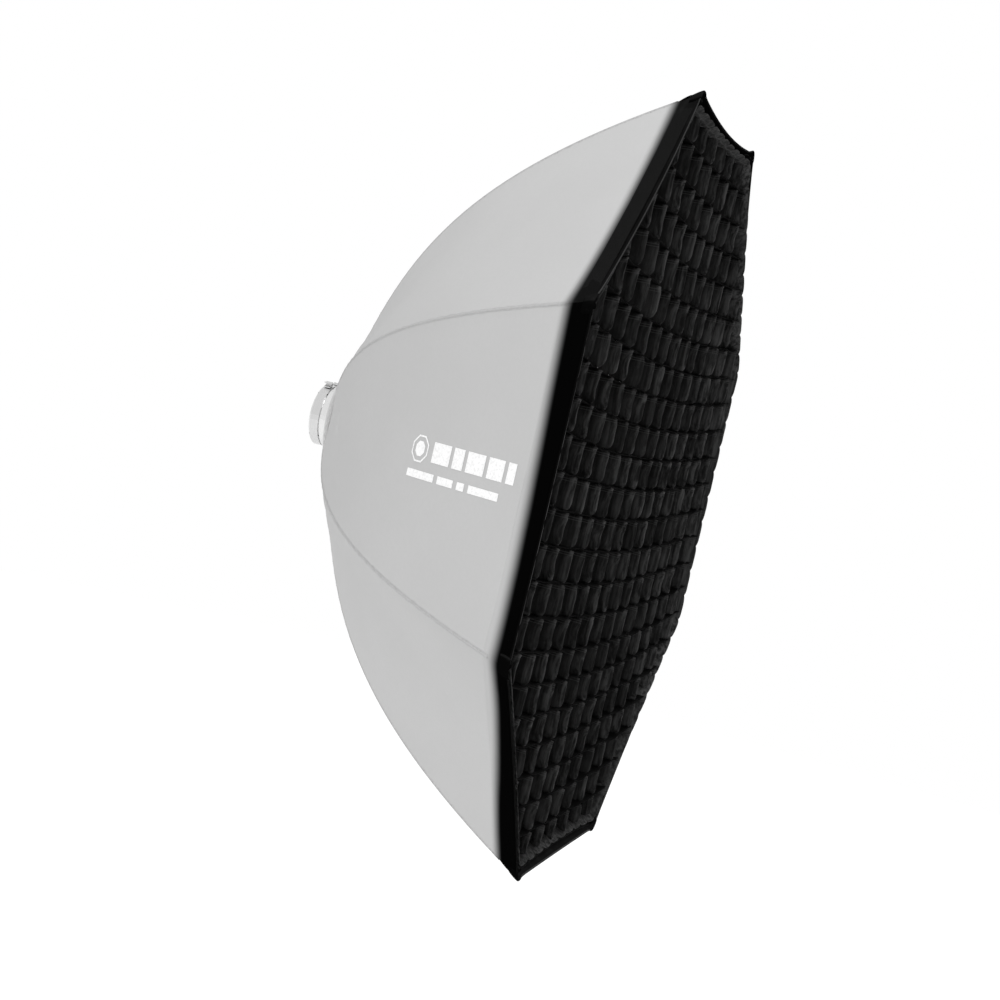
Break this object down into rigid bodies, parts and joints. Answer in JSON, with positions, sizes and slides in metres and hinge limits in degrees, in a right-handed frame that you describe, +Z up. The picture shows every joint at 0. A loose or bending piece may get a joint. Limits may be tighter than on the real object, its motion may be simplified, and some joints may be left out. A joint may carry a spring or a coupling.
{
  "type": "octabox",
  "caption": "Round-backed octagonal fabric softbox on sprung rods, with a turning speedring, a clamp collar for a flash head, two diffusers and a black egg-crate grid.",
  "frame": {"origin": "on the box's axis, at the centre of the rubber collar's rear mouth, where the flash head goes in", "axes": "+Y along the box's axis out of the rear mouth, so the lit front faces -Y; +Z up with a flat side of the octagon on top; +X to the right when looking along +Y into the front"},
  "size_m": [1.3858, 0.659, 1.3858],
  "materials": {
    "black_enamel": "satin black enamel",
    "collar_rubber": "matte moulded rubber",
    "zinc_plate": "zinc plated",
    "band_steel": "brushed along the band",
    "latch_plate": "nickel plated pressing",
    "latch_wire": "drawn wire",
    "cast_aluminium": "bead blasted casting",
    "knob_plastic": "fine moulded grain",
    "socket_aluminium": "turned and satin anodised",
    "rod_steel": "drawn spring steel",
    "cap_rubber": "matte",
    "pocket_webbing": "ribbed webbing",
    "shell_cloth": "pale grey coated plain weave, silver inside",
    "collar_cloth": "pale grey coated plain weave",
    "lip_cloth": "black coated plain weave",
    "hook_tape": "black hook tape",
    "grid_cloth": "black light-trap cloth, slightly wrinkled",
    "diffusion_cloth": "white translucent ripstop"
  },
  "bodies": {
    "adapter": {"adapter_sleeve": "black_enamel", "rubber_liner": "collar_rubber", "clamp_band": "band_steel", "retaining_ring": "zinc_plate", "latch_base": "band_steel", "latch_keeper": "band_steel", "lever_pin": "band_steel"},
    "box": {"speedring": "cast_aluminium", "rod_socket_1": "socket_aluminium", "rod_socket_2": "socket_aluminium", "rod_socket_3": "socket_aluminium", "rod_socket_4": "socket_aluminium", "rod_socket_5": "socket_aluminium", "rod_socket_6": "socket_aluminium", "rod_socket_7": "socket_aluminium", "rod_socket_8": "socket_aluminium", "rod_1": "rod_steel", "rod_2": "rod_steel", "rod_3": "rod_steel", "rod_4": "rod_steel", "rod_5": "rod_steel", "rod_6": "rod_steel", "rod_7": "rod_steel", "rod_8": "rod_steel", "rod_cap_1": "cap_rubber", "rod_cap_2": "cap_rubber", "rod_cap_3": "cap_rubber", "rod_cap_4": "cap_rubber", "rod_cap_5": "cap_rubber", "rod_cap_6": "cap_rubber", "rod_cap_7": "cap_rubber", "rod_cap_8": "cap_rubber", "corner_pocket_1": "pocket_webbing", "corner_pocket_2": "pocket_webbing", "corner_pocket_3": "pocket_webbing", "corner_pocket_4": "pocket_webbing", "corner_pocket_5": "pocket_webbing", "corner_pocket_6": "pocket_webbing", "corner_pocket_7": "pocket_webbing", "corner_pocket_8": "pocket_webbing", "shell_panel_1": "shell_cloth", "shell_panel_2": "shell_cloth", "shell_panel_3": "shell_cloth", "shell_panel_4": "shell_cloth", "shell_panel_5": "shell_cloth", "shell_panel_6": "shell_cloth", "shell_panel_7": "shell_cloth", "shell_panel_8": "shell_cloth", "rear_collar": "collar_cloth", "front_lip": "lip_cloth", "lip_hook_tape": "hook_tape", "inner_diffuser": "diffusion_cloth"},
    "latch_lever": {"latch_lever": "latch_plate"},
    "latch_bail": {"latch_bail": "latch_wire"},
    "lock_knob": {"lock_knob": "knob_plastic"},
    "front_diffuser": {"front_diffuser": "diffusion_cloth"},
    "grid": {"grid": "grid_cloth"}
  },
  "joints": [
    {"name": "box_rotation", "type": "hinge", "parent": "adapter", "child": "box", "pos_m": [0, 0, 0], "axis": [0, 1, 0], "continuous": true},
    {"name": "lock_knob_turn", "type": "hinge", "parent": "box", "child": "lock_knob", "pos_m": [0.083, -0.04, 0], "axis": [0, 1, 0], "range_deg": [0, 360]},
    {"name": "latch_lever_pivot", "type": "hinge", "parent": "adapter", "child": "latch_lever", "pos_m": [0.02271, -0.012, 0.0624], "axis": [0, -1, 0], "range_deg": [0, 150]},
    {"name": "latch_bail_pivot", "type": "hinge", "parent": "latch_lever", "child": "latch_bail", "pos_m": [0.03054, -0.012, 0.06073], "axis": [0, -1, 0], "range_deg": [-150, 0]},
    {"name": "front_diffuser_lift_off", "type": "slide", "parent": "box", "child": "front_diffuser", "axis": [0, -1, 0], "range_m": [0, 0.25]},
    {"name": "grid_lift_off", "type": "slide", "parent": "front_diffuser", "child": "grid", "axis": [0, -1, 0], "range_m": [0, 0.15]}
  ],
  "couplings": [
    {"joint": "latch_bail_pivot", "follows": "latch_lever_pivot", "ratio": -1}
  ]
}
